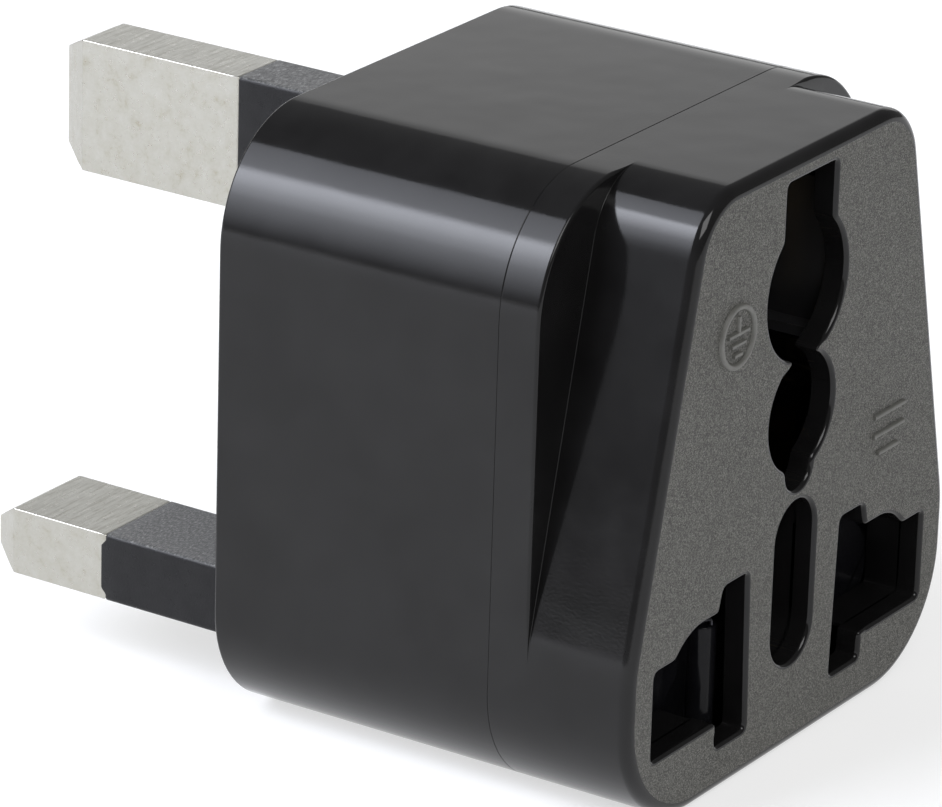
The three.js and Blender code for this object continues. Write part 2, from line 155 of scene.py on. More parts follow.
def arc(cx, cz, radius, start, end, count):
    angles = [math.radians(start + (end - start) * i / count) for i in range(count + 1)]
    return [Vector((cx + radius * math.cos(a), cz + radius * math.sin(a))) for a in angles]


def path_length(points):
    return sum((b - a).length for a, b in zip(points, points[1:]))


def resample(points, count):
    """count + 1 points evenly spaced along a polyline."""
    total = path_length(points)
    result = [points[0].copy()]
    travelled, index, here = 0.0, 0, points[0].copy()
    for k in range(1, count):
        target = total * k / count
        while travelled + (points[index + 1] - here).length < target:
            travelled += (points[index + 1] - here).length
            index += 1
            here = points[index].copy()
        step = target - travelled
        direction = (points[index + 1] - here).normalized()
        here = here + direction * step
        travelled = target
        result.append(here.copy())
    result.append(points[-1].copy())
    return result


def closed_by_mirror(right):
    """A loop, counterclockwise in X and Z, from its right half listed bottom centre to top centre."""
    left = [Vector((-p.x, p.y)) for p in reversed(right[1:-1])]
    return right + left


def joined_half(x, low, high, radius, rise):
    """The right half of an outline: flat bottom, lower corner, the given rise, then the flat top."""
    rise = rise + [Vector((NOSE_MEET, high))]
    half = resample([Vector((0, low)), Vector((x - radius, low))], FLAT_STEPS)
    half += arc(x - radius, low + radius, radius, -90, 0, LOWER_CORNER_STEPS)[1:]
    half += resample(rise, SIDE_STEPS)[1:]
    return half + resample([rise[-1], Vector((0, high))], FLAT_STEPS)[1:]


def case_half(inset=0.0):
    x, low, high = HALF_WIDTH - inset, BOTTOM + inset, TOP - inset
    radius = CORNER_RADIUS - inset
    rise = [Vector((x, low + radius)), Vector((x, high - radius))]
    rise += arc(x - radius, high - radius, radius, 0, 90, UPPER_CORNER_STEPS)[1:]
    return joined_half(x, low, high, radius, rise)


def rounded_corner(before, corner, after, radius, count):
    """An arc of the given radius in place of a corner, from the side of before to the side of after."""
    to_before = (before - corner).normalized()
    to_after = (after - corner).normalized()
    half = math.acos(max(-1, min(1, to_before.dot(to_after)))) / 2
    centre = corner + (to_before + to_after).normalized() * (radius / math.sin(half))
    start = corner + to_before * (radius / math.tan(half)) - centre
    end = corner + to_after * (radius / math.tan(half)) - centre
    turn = math.atan2(start.x * end.y - start.y * end.x, start.dot(end))
    return [centre + Matrix.Rotation(turn * i / count, 2) @ start for i in range(count + 1)]


def nose_half(inset=0.0):
    x, low, high = HALF_WIDTH - inset, BOTTOM + inset, TOP - inset
    radius = CORNER_RADIUS - inset
    slant = math.hypot(1, NOSE_SLOPE)

    def side(z):
        return NOSE_TOP_HALF + NOSE_SLOPE * (TOP - z) - inset * slant

    knee = Vector((x, TOP - (x - side(TOP)) / NOSE_SLOPE))
    crown = Vector((side(high), high))
    rise = [Vector((x, low + radius))]
    rise += rounded_corner(Vector((x, low)), knee, crown, NOSE_KNEE_RADIUS, 10)
    rise += rounded_corner(knee, crown, Vector((0, high)), NOSE_TOP_RADIUS - inset, 20)
    return joined_half(x, low, high, radius, rise)


def case_loop(inset=0.0):
    return closed_by_mirror(case_half(inset))


def nose_loop(inset=0.0):
    return closed_by_mirror(nose_half(inset))


def normals_of(loop):
    """Unit outward normals of a counterclockwise loop."""
    result = []
    for before, after in zip(loop[-1:] + loop[:-1], loop[1:] + loop[:1]):
        along = after - before
        result.append(Vector((along.y, -along.x)).normalized())
    return result


def soften(points, spacing=0.13, passes=9):
    """A closed outline resampled evenly, with its corners eased by repeated averaging."""
    closed = points + [points[0]]
    count = max(24, round(path_length(closed) / spacing))
    loop = resample(closed, count)[:-1]
    for _ in range(passes):
        neighbours = zip(loop[-1:] + loop[:-1], loop, loop[1:] + loop[:1])
        loop = [(a + b * 2 + c) / 4 for a, b, c in neighbours]
    return loop


def live_aperture():
    """The right live aperture: an upright blade slot, a flat slot to the right and a round over both."""
    x, z, radius = LIVE_ROUND["x"], LIVE_ROUND["z"], LIVE_ROUND["radius"]
    start = math.degrees(math.asin((LIVE["top"] - z) / radius))
    below = [
        (LIVE["inner"], LIVE["slot_bottom"]),
        (LIVE["slot"], LIVE["slot_bottom"]),
        (LIVE["slot"] + 0.05, LIVE["bottom"]),
        (LIVE["outer"], LIVE["bottom"]),
        (LIVE["outer"], LIVE["top"]),
    ]
    above = [
        (LIVE["slot"] + 0.15, LIVE["round_top"]),
        (LIVE["slot"] - 0.25, LIVE["slot_top"]),
        (LIVE["inner"] + 0.4, LIVE["slot_top"]),
    ]
    points = [Vector(p) for p in below] + arc(x, z, radius, start, 90, 10) + [Vector(p) for p in above]
    return soften(points, passes=6)


def earth_aperture():
    """A small lobe, the lower round, the upper round and the pin's slot, from the bottom up."""

    def angle(round_part, x, side):
        """Where a round reaches x, in its lower (-1) or upper (1) half."""
        return math.degrees(math.atan2(side * math.sqrt(round_part[1] ** 2 - x ** 2), x))

    def part(round_part, start, end, count):
        return arc(0, round_part[0], round_part[1], start, end, count)

    right = part(EARTH_LOBE, -90, angle(EARTH_LOBE, EARTH_LOBE_MEET, -1), 6)
    start = angle(EARTH_LOWER, EARTH_LOBE_MEET + 0.1, -1)
    right += part(EARTH_LOWER, start, angle(EARTH_LOWER, EARTH_NECK_HALF, 1), 24)
    start = angle(EARTH_UPPER, EARTH_NECK_HALF, -1)
    right += part(EARTH_UPPER, start, angle(EARTH_UPPER, EARTH_SLOT["half"], 1), 24)
    right += [Vector((EARTH_SLOT["half"], EARTH_SLOT["top"])), Vector((0, EARTH_SLOT["top"]))]
    return soften(closed_by_mirror(right), passes=6)


def centre_slot():
    half = CENTRE_SLOT["half"]
    lower = arc(0, CENTRE_SLOT["low"], half, 180, 360, 20)
    return soften(lower + arc(0, CENTRE_SLOT["high"], half, 0, 180, 20), passes=1)


def mirrored(loop):
    return [Vector((-p.x, p.y)) for p in reversed(loop)]


def rounded_rectangle(cx, cz, width, height, radius, steps=5):
    x, z = width / 2 - radius, height / 2 - radius
    points = []
    for sx, sz, start in ((1, 1, 0), (-1, 1, 90), (-1, -1, 180), (1, -1, 270)):
        points += arc(cx + sx * x, cz + sz * z, radius, start, start + 90, steps)
    return points


def circle(cx, cz, radius, count=48):
    return arc(cx, cz, radius, 0, 360, count)[:-1]


def grown(loop, amount):
    return [p + n * amount for p, n in zip(loop, normals_of(loop))]


# ---------------------------------------------------------------- mesh building

class Builder:
    """Collects rings and caps of one closed surface, then makes the object.

    Loops are drawn in X and Z and stacked along Y, or, if upright, drawn in X and Y and stacked along Z."""

    def __init__(self, upright=False):
        self.mesh = bmesh.new()
        self.upright = upright

    def ring(self, loop, y):
        """y is one number, or one for each point."""
        heights = y if isinstance(y, list) else [y] * len(loop)
        if self.upright:
            return [self.mesh.verts.new(to_metres((p.x, p.y, h))) for p, h in zip(loop, heights)]
        return [self.mesh.verts.new(to_metres((p.x, h, p.y))) for p, h in zip(loop, heights)]

    def band(self, first, second, material=0):
        count = len(first)
        for i in range(count):
            j = (i + 1) % count
            face = self.mesh.faces.new((first[i], first[j], second[j], second[i]))
            face.material_index = material
            face.smooth = True

    def strip(self, rings, material=0):
        for first, second in zip(rings, rings[1:]):
            self.band(first, second, material)

    def cap(self, outer, holes, material=0):
        """Fills between an outer ring and the rings of its holes, all in one plane."""
        rings = [outer] + holes
        verts = [v for ring in rings for v in ring]
        flat = [Vector((v.co.x, v.co.y if self.upright else v.co.z)) / MM for v in verts]
        outlines, edges, start = [], [], 0
        for ring in rings:
            count = len(ring)
            edges += [(start + i, start + (i + 1) % count) for i in range(count)]
            outlines.append(flat[start:start + count])
            start += count
        placed, _, faces, sources, _, _ = delaunay_2d_cdt(flat, edges, [], 0, 1e-7, True)
        for indices in faces:
            middle = sum((placed[i] for i in indices), Vector((0, 0))) / len(indices)
            if not inside(middle, outlines[0]) or any(inside(middle, hole) for hole in outlines[1:]):
                continue
            face = self.mesh.faces.new([verts[sources[i][0]] for i in indices])
            face.material_index = material
            face.smooth = True

    def finish(self, name, materials):
        bmesh.ops.remove_doubles(self.mesh, verts=self.mesh.verts, dist=2e-7)
        bmesh.ops.dissolve_degenerate(self.mesh, edges=self.mesh.edges, dist=1e-7)
        bmesh.ops.recalc_face_normals(self.mesh, faces=self.mesh.faces)
        data = bpy.data.meshes.new(name)
        self.mesh.to_mesh(data)
        self.mesh.free()
        obj = bpy.data.objects.new(name, data)
        bpy.context.collection.objects.link(obj)
        for material in materials:
            data.materials.append(material)
        smooth_by_weight(obj)
        return obj


def smooth_by_weight(obj, angle=50):
    obj.data.set_sharp_from_angle(angle=math.radians(angle))
    weighted = obj.modifiers.new("weighted_normals", "WEIGHTED_NORMAL")
    weighted.keep_sharp = True
    weighted.weight = 80


def inside(point, polygon):
    result = False
    for a, b in zip(polygon, polygon[1:] + polygon[:1]):
        if (a.y > point.y) != (b.y > point.y):
            if point.x < (b.x - a.x) * (point.y - a.y) / (b.y - a.y) + a.x:
                result = not result
    return result


def quarter(count):
    """(sine, cosine) pairs of evenly spaced angles from 0 to 90 degrees."""
    angles = [math.pi / 2 * i / count for i in range(count + 1)]
    return [(math.sin(a), math.cos(a)) for a in angles]


def room(loop, limit):
    """How far each point of a closed loop may move along its normal before the loop meets itself."""
    spare = 0.8
    result = []
    for p, n in zip(loop, normals_of(loop)):
        amount = limit
        for q in loop:
            away = q - p
            ahead = away.dot(n)
            if ahead > 1e-6:
                amount = min(amount, spare * away.length_squared / (2 * ahead))
        result.append(amount)
    for _ in range(4):
        neighbours = zip(result[-1:] + result[:-1], result, result[1:] + result[:1])
        result = [min(a, (a + b + c) / 3) for a, b, c in neighbours]
    return result


def edge_rings(builder, loop, surface, wall_side, radius, steps=5):
    """Rings that round a hole's rim: from the surface, radius wider, down into the hole's wall."""
    rings = []
    radii = room(loop, radius)
    outward = normals_of(loop)
    for sine, cosine in quarter(steps):
        points = [p + n * r * (1 - sine) for p, n, r in zip(loop, outward, radii)]
        rings.append(builder.ring(points, [surface + wall_side * r * (1 - cosine) for r in radii]))
    return rings


# ---------------------------------------------------------------- case

def hole(builder, loop, front, rear, edge):
    """A hole's wall, from its rounded rim at y = front back to y = rear. Returns its two end rings."""
    rings = edge_rings(builder, loop, front, 1 if rear > front else -1, edge)
    rings.append(builder.ring(loop, rear))
    builder.strip(rings)
    return rings[0], rings[-1]


def lip_inner_loop():
    """The lip's inner outline, thin along the bottom where the doors swing past it."""
    thick, thin = case_loop(LIP_INNER_INSET), case_loop(LIP_THIN_INSET)
    return [b if a.y < 0 else a for a, b in zip(thick, thin)]


def make_front_cover(gloss, grain):
    """The band, the step, the nose and its face, with the lip and the walls behind them."""
    b = Builder()
    case, nose = case_loop(), nose_loop()
    case_out, nose_out = normals_of(case), normals_of(nose)
    step_share = 0.4
    rooms = [step_share * max(0.0, (p - q).dot(n)) for p, q, n in zip(case, nose, nose_out)]
    edges = [min(STEP_EDGE, space) for space in rooms]
    fillets = [min(STEP_FILLET, space) for space in rooms]
    face = FACE + RELIEF

    rings = [b.ring(lip_inner_loop(), STEP + NOSE_WALL)]
    rings.append(b.ring(lip_inner_loop(), LIP_END))
    rings.append(b.ring(case_loop(LIP_INSET), LIP_END))
    rings.append(b.ring(case_loop(LIP_INSET), SEAM))
    for sine, cosine in quarter(3):
        points = [p - n * SEAM_EDGE * (1 - sine) for p, n in zip(case, case_out)]
        rings.append(b.ring(points, SEAM - SEAM_EDGE * (1 - cosine)))
    for sine, cosine in quarter(4):
        points = [p - n * r * (1 - cosine) for p, n, r in zip(case, case_out, edges)]
        rings.append(b.ring(points, [STEP + r * (1 - sine) for r in edges]))
    for sine, cosine in quarter(5):
        points = [q + n * r * (1 - sine) for q, n, r in zip(nose, nose_out, fillets)]
        rings.append(b.ring(points, [STEP - r * (1 - cosine) for r in fillets]))
    for sine, cosine in quarter(8):
        points = [q - n * FACE_EDGE * (1 - cosine) for q, n in zip(nose, nose_out)]
        rings.append(b.ring(points, face + FACE_EDGE * (1 - sine)))
    b.strip(rings)

    plate_rear = FACE + FACE_PLATE
    inner = [b.ring(nose_loop(NOSE_WALL), plate_rear), b.ring(nose_loop(NOSE_WALL), STEP + NOSE_WALL)]
    b.strip([inner[0], inner[1], rings[0]])

    outlines = [live_aperture(), mirrored(live_aperture()), earth_aperture(), centre_slot()]
    ends = [hole(b, outline, face, plate_rear, APERTURE_EDGE) for outline in outlines]
    b.cap(rings[-1], [end[0] for end in ends], 1)
    b.cap(inner[0], [end[1] for end in ends], 0)

    for outline in outlines[:2]:
        pocket_wall(b, outline, plate_rear)
    wall_front = plate_rear - 0.2
    wall_rear = FACE + POCKET_DEPTH
    slot, collar = outlines[3], grown(outlines[3], CENTRE_SLOT["collar"])
    sides = ((slot, wall_front), (slot, wall_rear), (collar, wall_rear), (collar, wall_front))
    rings = [b.ring(loop, depth) for loop, depth in sides]
    b.strip(rings + rings[:1])
    for x, z in SCREWS:
        tube(b, x, z, POST["outer"], POST["inner"], wall_front, POST["rear"])
    return b.finish("front_cover_skin", [gloss, grain])


def pocket_wall(builder, outline, plate_rear):
    """The deeper wall behind the outer part of a live aperture."""
    outer_part = [i for i, p in enumerate(outline) if abs(p.x) > POCKET_INNER]
    split = next((k for k, (i, j) in enumerate(zip(outer_part, outer_part[1:])) if j - i > 1), None)
    if split is not None:
        outer_part = outer_part[split + 1:] + outer_part[:split + 1]
    wall = [outline[i] for i in outer_part]
    outward, space = normals_of(outline), room(outline, POCKET_WALL)
    back = [outline[i] + outward[i] * space[i] for i in outer_part]
    loop = wall + back[::-1]
    rings = [builder.ring(loop, plate_rear - 0.1), builder.ring(loop, FACE + POCKET_DEPTH)]
    builder.strip(rings)
    builder.cap(rings[0], [])
    builder.cap(rings[1], [])


def tube(builder, x, z, outer, inner, front, rear):
    """A plain tube along Y."""
    rings = [
        builder.ring(circle(x, z, outer), front),
        builder.ring(circle(x, z, outer), rear),
        builder.ring(circle(x, z, inner), rear),
        builder.ring(circle(x, z, inner), front),
    ]
    builder.strip(rings + rings[:1])


def pin_hole(pin):
    width, height = pin["width"] + 2 * PIN_HOLE_GAP, pin["height"] + 2 * PIN_HOLE_GAP
    return rounded_rectangle(pin["x"], pin["z"], width, height, 0.3)


def make_rear_shell(gloss, base):
    """The rear box: its walls, and the plug base with the pins' and the screws' holes."""
    b = Builder()
    case = case_loop()
    out = normals_of(case)
    rings = [b.ring(case_loop(WALL), -BASE_THICKNESS), b.ring(case_loop(WALL), SEAM)]
    for sine, cosine in quarter(3):
        points = [p - n * SEAM_EDGE * (1 - sine) for p, n in zip(case, out)]
        rings.append(b.ring(points, SEAM + SEAM_EDGE * (1 - cosine)))
    for sine, cosine in quarter(5):
        points = [p - n * BASE_EDGE * (1 - cosine) for p, n in zip(case, out)]
        rings.append(b.ring(points, -BASE_EDGE * (1 - sine)))
    b.strip(rings)
    outlines = [pin_hole(pin) for pin in (EARTH, LINE, NEUTRAL)]
    outlines += [circle(x, z, COUNTERBORE) for x, z in SCREWS]
    ends = [hole(b, outline, 0, -BASE_THICKNESS, HOLE_EDGE) for outline in outlines]
    b.cap(rings[-1], [end[0] for end in ends], 1)
    b.cap(rings[0], [end[1] for end in ends], 0)
    for x, z in SCREWS:
        tube(b, x, z, BOSS["outer"], BOSS["inner"], -BASE_THICKNESS + 0.1, BOSS["rear"])
    return b.finish("rear_shell_skin", [gloss, base])


# ---------------------------------------------------------------- relief marks on the face

def raised_line(builder, points, width, closed=False):
    """A low ridge with a rounded section along a polyline in the face's plane."""
    surface = FACE + RELIEF
    count = len(points)
    left = [(-1.0, 0.06), (-0.84, -0.7), (-0.6, -0.96)]
    section = left + [(0.0, -1.0)] + [(-side, depth) for side, depth in reversed(left)]
    rows = []
    for i, p in enumerate(points):
        if closed:
            before, after = points[i - 1], points[(i + 1) % count]
        else:
            before, after = points[max(i - 1, 0)], points[min(i + 1, count - 1)]
        along = (after - before).normalized()
        across = Vector((along.y, -along.x))
        places = [(p + across * (side * width / 2), surface + depth * RELIEF) for side, depth in section]
        rows.append([builder.mesh.verts.new(to_metres((q.x, y, q.y))) for q, y in places])
    pairs = list(zip(rows, rows[1:])) + ([(rows[-1], rows[0])] if closed else [])
    for first, second in pairs:
        for i in range(len(section)):
            j = (i + 1) % len(section)
            face = builder.mesh.faces.new((first[i], first[j], second[j], second[i]))
            face.smooth = True
    if not closed:
        builder.mesh.faces.new(rows[0])
        builder.mesh.faces.new(rows[-1])


def straight_line(start, end, count=14):
    a, b = Vector(start), Vector(end)
    return [a.lerp(b, i / count) for i in range(count + 1)]


def make_marks(plastic):
    """A protective-earth sign, and plain raised bars where such a face carries its moulded marks."""
    b = Builder()
    ring_width, sign_width, bar_width = 0.36, 0.26, 0.3
    cx, cz = SIGN["x"], SIGN["z"]
    raised_line(b, circle(cx, cz, SIGN["radius"], 56), ring_width, closed=True)
    raised_line(b, straight_line((cx, cz + 1.2), (cx, cz + 0.3)), sign_width)
    for rise, half in ((0.2, 1.05), (-0.42, 0.72), (-1.02, 0.4)):
        raised_line(b, straight_line((cx - half, cz + rise), (cx + half, cz + rise)), sign_width)
    for row, half in enumerate((1.7, 1.7, 1.1)):
        z = BARS["top"] - BARS["pitch"] * row
        raised_line(b, straight_line((BARS["x"] - half, z), (BARS["x"] + half, z)), bar_width)
    return b.finish("face_marks", [plastic])


# ---------------------------------------------------------------- plug pins

def make_pin(name, pin, node, metal):
    """A plated pin: eased long edges, a shoulder at its sleeve and a tip tapered on four sides."""
    b = Builder()
    low, high = corners(node)
    length = (high.y - BASE_Y) / MM
    root = (low.y - BASE_Y) / MM
    neck = 0.64
    edge = PIN_EDGE
    sleeve_end = pin["sleeve"]
    shoulder_end = sleeve_end + 0.1
    taper_start = length - pin["taper"]
    shank_end = taper_start - 0.12
    tip_x, tip_z = pin["inset_x"], pin["inset_z"]

    def section(inset_x, inset_z, radius):
        width, height = pin["width"] - 2 * inset_x, pin["height"] - 2 * inset_z
        return rounded_rectangle(pin["x"], pin["z"], width, height, radius, 4)

    # Each row: its place along the pin, its insets across and upwards, and its corner radius
    rows = [
        (root, neck, neck, 0.2),
        (sleeve_end - 0.02, neck, neck, 0.2),
        (sleeve_end - 0.02, edge, edge, 0.08),
        (sleeve_end + 0.04, 0.03, 0.03, edge),
        (shoulder_end, 0.0, 0.0, edge),
    ]
    rows += [(shoulder_end + (shank_end - shoulder_end) * k / 8, 0.0, 0.0, edge) for k in range(1, 9)]
    rows.append((taper_start - 0.04, 0.008, 0.008, edge))
    first_share = 0.06
    rows.append((taper_start + 0.06, first_share * tip_x, first_share * tip_z, edge))
    for share in (first_share + 0.86 * k / 4 for k in range(1, 5)):
        rows.append((taper_start + pin["taper"] * share, tip_x * share, tip_z * share, edge))
    rows += [
        (length - 0.05, tip_x, tip_z, edge),
        (length - 0.01, tip_x + 0.07, tip_z + 0.07, 0.1),
        (length, tip_x + 0.14, tip_z + 0.14, 0.08),
    ]
    rings = [b.ring(section(inset_x, inset_z, radius), y) for y, inset_x, inset_z, radius in rows]
    b.strip(rings)
    b.cap(rings[0], [])
    b.cap(rings[-1], [])
    return b.finish(name, [metal])


def make_sleeve(name, pin, material):
    """A moulded sleeve whose end creeps a little way over the metal on the pin's wide sides."""
    b = Builder()
    width, height = pin["width"] + 2 * SLEEVE_SWELL, pin["height"] + 2 * SLEEVE_SWELL
    end = pin["sleeve"]
    outer = rounded_rectangle(pin["x"], pin["z"], width, height, 0.22, 5)
    outer = resample(outer + outer[:1], 220)[:-1]

    def creep(point):
        """How far the end reaches over the metal: a flat-topped tongue on the left and right sides."""
        beside = abs(point.x - pin["x"]) > width / 2 - 0.25
        reach = 0.32 * height
        away = abs(point.y - pin["z"])
        tongue = 1 - max(0.0, min(1.0, (away - reach) / 0.35)) if beside else 0.0
        return end - 0.02 + pin["tongue"] * tongue

    ends = [creep(p) for p in outer]
    out = normals_of(outer)
    rings = [b.ring(outer, -BASE_THICKNESS)]
    for k in range(1, 13):
        share = k / 12
        lengths = [e - SLEEVE_EDGE + BASE_THICKNESS for e in ends]
        rings.append(b.ring(outer, [-BASE_THICKNESS + length * share for length in lengths]))
    for sine, cosine in quarter(3)[1:]:
        points = [p - n * 0.1 * (1 - cosine) for p, n in zip(outer, out)]
        rings.append(b.ring(points, [e - SLEEVE_EDGE + SLEEVE_EDGE * sine for e in ends]))
    inner = [p - n * SLEEVE_THICKNESS for p, n in zip(outer, out)]
    mouth = [p - n * (SLEEVE_SWELL + 0.02) for p, n in zip(outer, out)]
    rings.append(b.ring(mouth, [e - 0.01 for e in ends]))
    rings.append(b.ring(inner, end - 0.05))
    rings.append(b.ring(inner, -BASE_THICKNESS))
    b.strip(rings + rings[:1])
    return b.finish(name, [material])


# ---------------------------------------------------------------- shutters

def make_shutter(name, side, joint, material):
    """A door with its rounded hinge barrel. side is -1 or 1; the barrel stands on the joint's axis."""
    axis = Vector(joint["pos_m"])
    x, y = axis.x / MM, (axis.y - BASE_Y) / MM
    low, high, edge = DOOR["low"], BARREL["high"], DOOR["edge"]
    front = FACE + POCKET_DEPTH + 0.1
    rear = front + DOOR["thickness"]

    b = Builder(upright=True)
    rounding = ((0.0, 0.12), (0.04, 0.04), (0.12, 0.0))
    rows = [(low + rise, inset) for rise, inset in rounding]
    rows += [(high - rise, inset) for rise, inset in reversed(rounding)]
    rings = [b.ring(circle(x, y, BARREL["radius"] - inset, 40), z) for z, inset in rows]
    rings += [b.ring(circle(x, y, BARREL["bore"], 40), z) for z in (high, low)]
    b.strip(rings + rings[:1])

    # The web joins the barrel to the door's plate
    web_outline = rounded_rectangle(x + side * 0.65, (y + front) / 2 + 0.1, 0.3, front - y + 0.2, 0.05)
    web = [b.ring(web_outline, z) for z in (low + 0.05, high - 0.05)]
    b.strip(web)
    b.cap(web[0], [])
    b.cap(web[1], [])

    b.upright = False
    outer, shoulder = DOOR["outer"] * side, 4.7
    outline = [(x, low), (12.4 * side, low), (14.2 * side, -2.4), (outer, -0.6), (outer, shoulder)]
    outline += [(8.6 * side, shoulder), (8.2 * side, DOOR["high"]), (x, DOOR["high"])]
    loop = [Vector(p) for p in outline]
    if side < 0:
        loop.reverse()
    loop = soften(loop, spacing=0.15, passes=2)
    eased = grown(loop, -edge)
    sides = ((eased, front), (loop, front + edge), (loop, rear - edge), (eased, rear))
    rings = [b.ring(points, depth) for points, depth in sides]
    b.strip(rings)
    b.cap(rings[0], [])
    b.cap(rings[-1], [])
    return b.finish(name, [material])


# ---------------------------------------------------------------- materials

def new_material(name):
    material = bpy.data.materials.new(name)
    material.use_nodes = True
    tree = material.node_tree
    return material, tree, tree.nodes["Principled BSDF"]


def noise(tree, scale, detail=4.0, roughness=0.55, distortion=0.0, stretch=(1, 1, 1)):
    """Noise fixed to the object, with a scale per metre."""
    coords = tree.nodes.new("ShaderNodeTexCoord")
    mapping = tree.nodes.new("ShaderNodeMapping")
    mapping.inputs["Scale"].default_value = stretch
    texture = tree.nodes.new("ShaderNodeTexNoise")
    texture.inputs["Scale"].default_value = scale
    texture.inputs["Detail"].default_value = detail
    texture.inputs["Roughness"].default_value = roughness
    texture.inputs["Distortion"].default_value = distortion
    tree.links.new(coords.outputs["Object"], mapping.inputs["Vector"])
    tree.links.new(mapping.outputs["Vector"], texture.inputs["Vector"])
    return texture.outputs["Fac"]


def ramp(tree, source, stops):
    """A ramp over (position, grey or colour) stops."""
    node = tree.nodes.new("ShaderNodeValToRGB")
    elements = node.color_ramp.elements
    while len(elements) < len(stops):
        elements.new(0.5)
    for element, (position, value) in zip(elements, stops):
        element.position = position
        element.color = (*value, 1) if isinstance(value, tuple) else (value, value, value, 1)
    tree.links.new(source, node.inputs["Fac"])
    return node.outputs["Color"]


def bump(tree, shader, height, strength, distance, below=None):
    node = tree.nodes.new("ShaderNodeBump")
    node.inputs["Strength"].default_value = strength
    node.inputs["Distance"].default_value = distance
    tree.links.new(height, node.inputs["Height"])
    if below is not None:
        tree.links.new(below, node.inputs["Normal"])
    tree.links.new(node.outputs["Normal"], shader.inputs["Normal"])
    return node.outputs["Normal"]


def blend(tree, factor, first, second, target):
    mix = tree.nodes.new("ShaderNodeMixRGB")
    tree.links.new(factor, mix.inputs["Fac"])
    tree.links.new(first, mix.inputs["Color1"])
    tree.links.new(second, mix.inputs["Color2"])
    tree.links.new(mix.outputs["Color"], target)


def facing_up(tree):
    """0 on upright faces, 1 on those that look up."""
    coords = tree.nodes.new("ShaderNodeTexCoord")
    split = tree.nodes.new("ShaderNodeSeparateXYZ")
    tree.links.new(coords.outputs["Normal"], split.inputs["Vector"])
    return ramp(tree, split.outputs["Z"], [(0.5, 0.0), (0.9, 1.0)])


def gloss_plastic():
    material, tree, shader = new_material("polished_black_plastic")
    dark, light = (0.0055, 0.0053, 0.0054), (0.0085, 0.0083, 0.0084)
    colour = ramp(tree, noise(tree, 260, 3), [(0.35, dark), (0.7, light)])
    tree.links.new(colour, shader.inputs["Base Color"])
    dulling = ramp(tree, noise(tree, 420, 5, 0.6), [(0.4, 0.08), (0.75, 0.14)])
    tree.links.new(dulling, shader.inputs["Roughness"])
    shader.inputs["IOR"].default_value = 1.36
    waves = bump(tree, shader, noise(tree, 150, 2), 0.06, 0.0004)
    bump(tree, shader, noise(tree, 6500, 3), 0.05, 0.00003, waves)
    return material


def grained_plastic():
    material, tree, shader = new_material("grained_black_plastic")
    speckle = noise(tree, 13000, 2, 0.7)
    dark, middle, light = (0.016, 0.0155, 0.013), (0.066, 0.065, 0.058), (0.185, 0.182, 0.165)
    colour = ramp(tree, speckle, [(0.34, dark), (0.5, middle), (0.66, light)])
    tree.links.new(colour, shader.inputs["Base Color"])
    rough = ramp(tree, noise(tree, 3000, 3), [(0.3, 0.5), (0.75, 0.66)])
    tree.links.new(rough, shader.inputs["Roughness"])
    shader.inputs["IOR"].default_value = 1.5
    coarse = bump(tree, shader, noise(tree, 9000, 3, 0.6), 0.9, 0.00006)
    bump(tree, shader, speckle, 0.8, 0.00004, coarse)
    return material


def satin_plastic(name, low, high, rough_low, rough_high, scale=700, specular=0.5):
    material, tree, shader = new_material(name)
    shader.inputs["Specular IOR Level"].default_value = specular
    colour = ramp(tree, noise(tree, scale, 4), [(0.3, low), (0.75, high)])
    tree.links.new(colour, shader.inputs["Base Color"])
    rough = ramp(tree, noise(tree, scale * 1.7, 5, 0.65), [(0.3, rough_low), (0.75, rough_high)])
    tree.links.new(rough, shader.inputs["Roughness"])
    bump(tree, shader, noise(tree, scale * 5, 4, 0.6, 0.4), 0.25, 0.00004)
    return material


def sleeve_plastic():
    """Satin black; the faces that look up are scuffed and rougher, and painted paler there, partly as wear and
    partly as a painted sheen.
    """
    material, tree, shader = new_material("sleeve_plastic")
    upward = facing_up(tree)
    scuffs = noise(tree, 7500, 5, 0.7, 0.0, (0.5, 1, 1))
    # The upward faces' pale palette: partly scuff wear, partly painted sheen.
    dark, middle, light = (0.035, 0.035, 0.035), (0.1, 0.1, 0.098), (0.26, 0.26, 0.25)
    scuffs_and_painted_sheen = ramp(tree, scuffs, [(0.35, dark), (0.52, middle), (0.7, light)])
    smooth = ramp(tree, noise(tree, 900, 4), [(0.3, (0.007, 0.007, 0.008)), (0.75, (0.011, 0.011, 0.012))])
    blend(tree, upward, smooth, scuffs_and_painted_sheen, shader.inputs["Base Color"])
    shader.inputs["IOR"].default_value = 1.3
    fine = ramp(tree, noise(tree, 1800, 4), [(0.3, 0.26), (0.75, 0.36)])
    coarse = ramp(tree, scuffs, [(0.3, 0.3), (0.75, 0.5)])
    blend(tree, upward, fine, coarse, shader.inputs["Roughness"])
    bump(tree, shader, scuffs, 0.5, 0.00005)
    return material


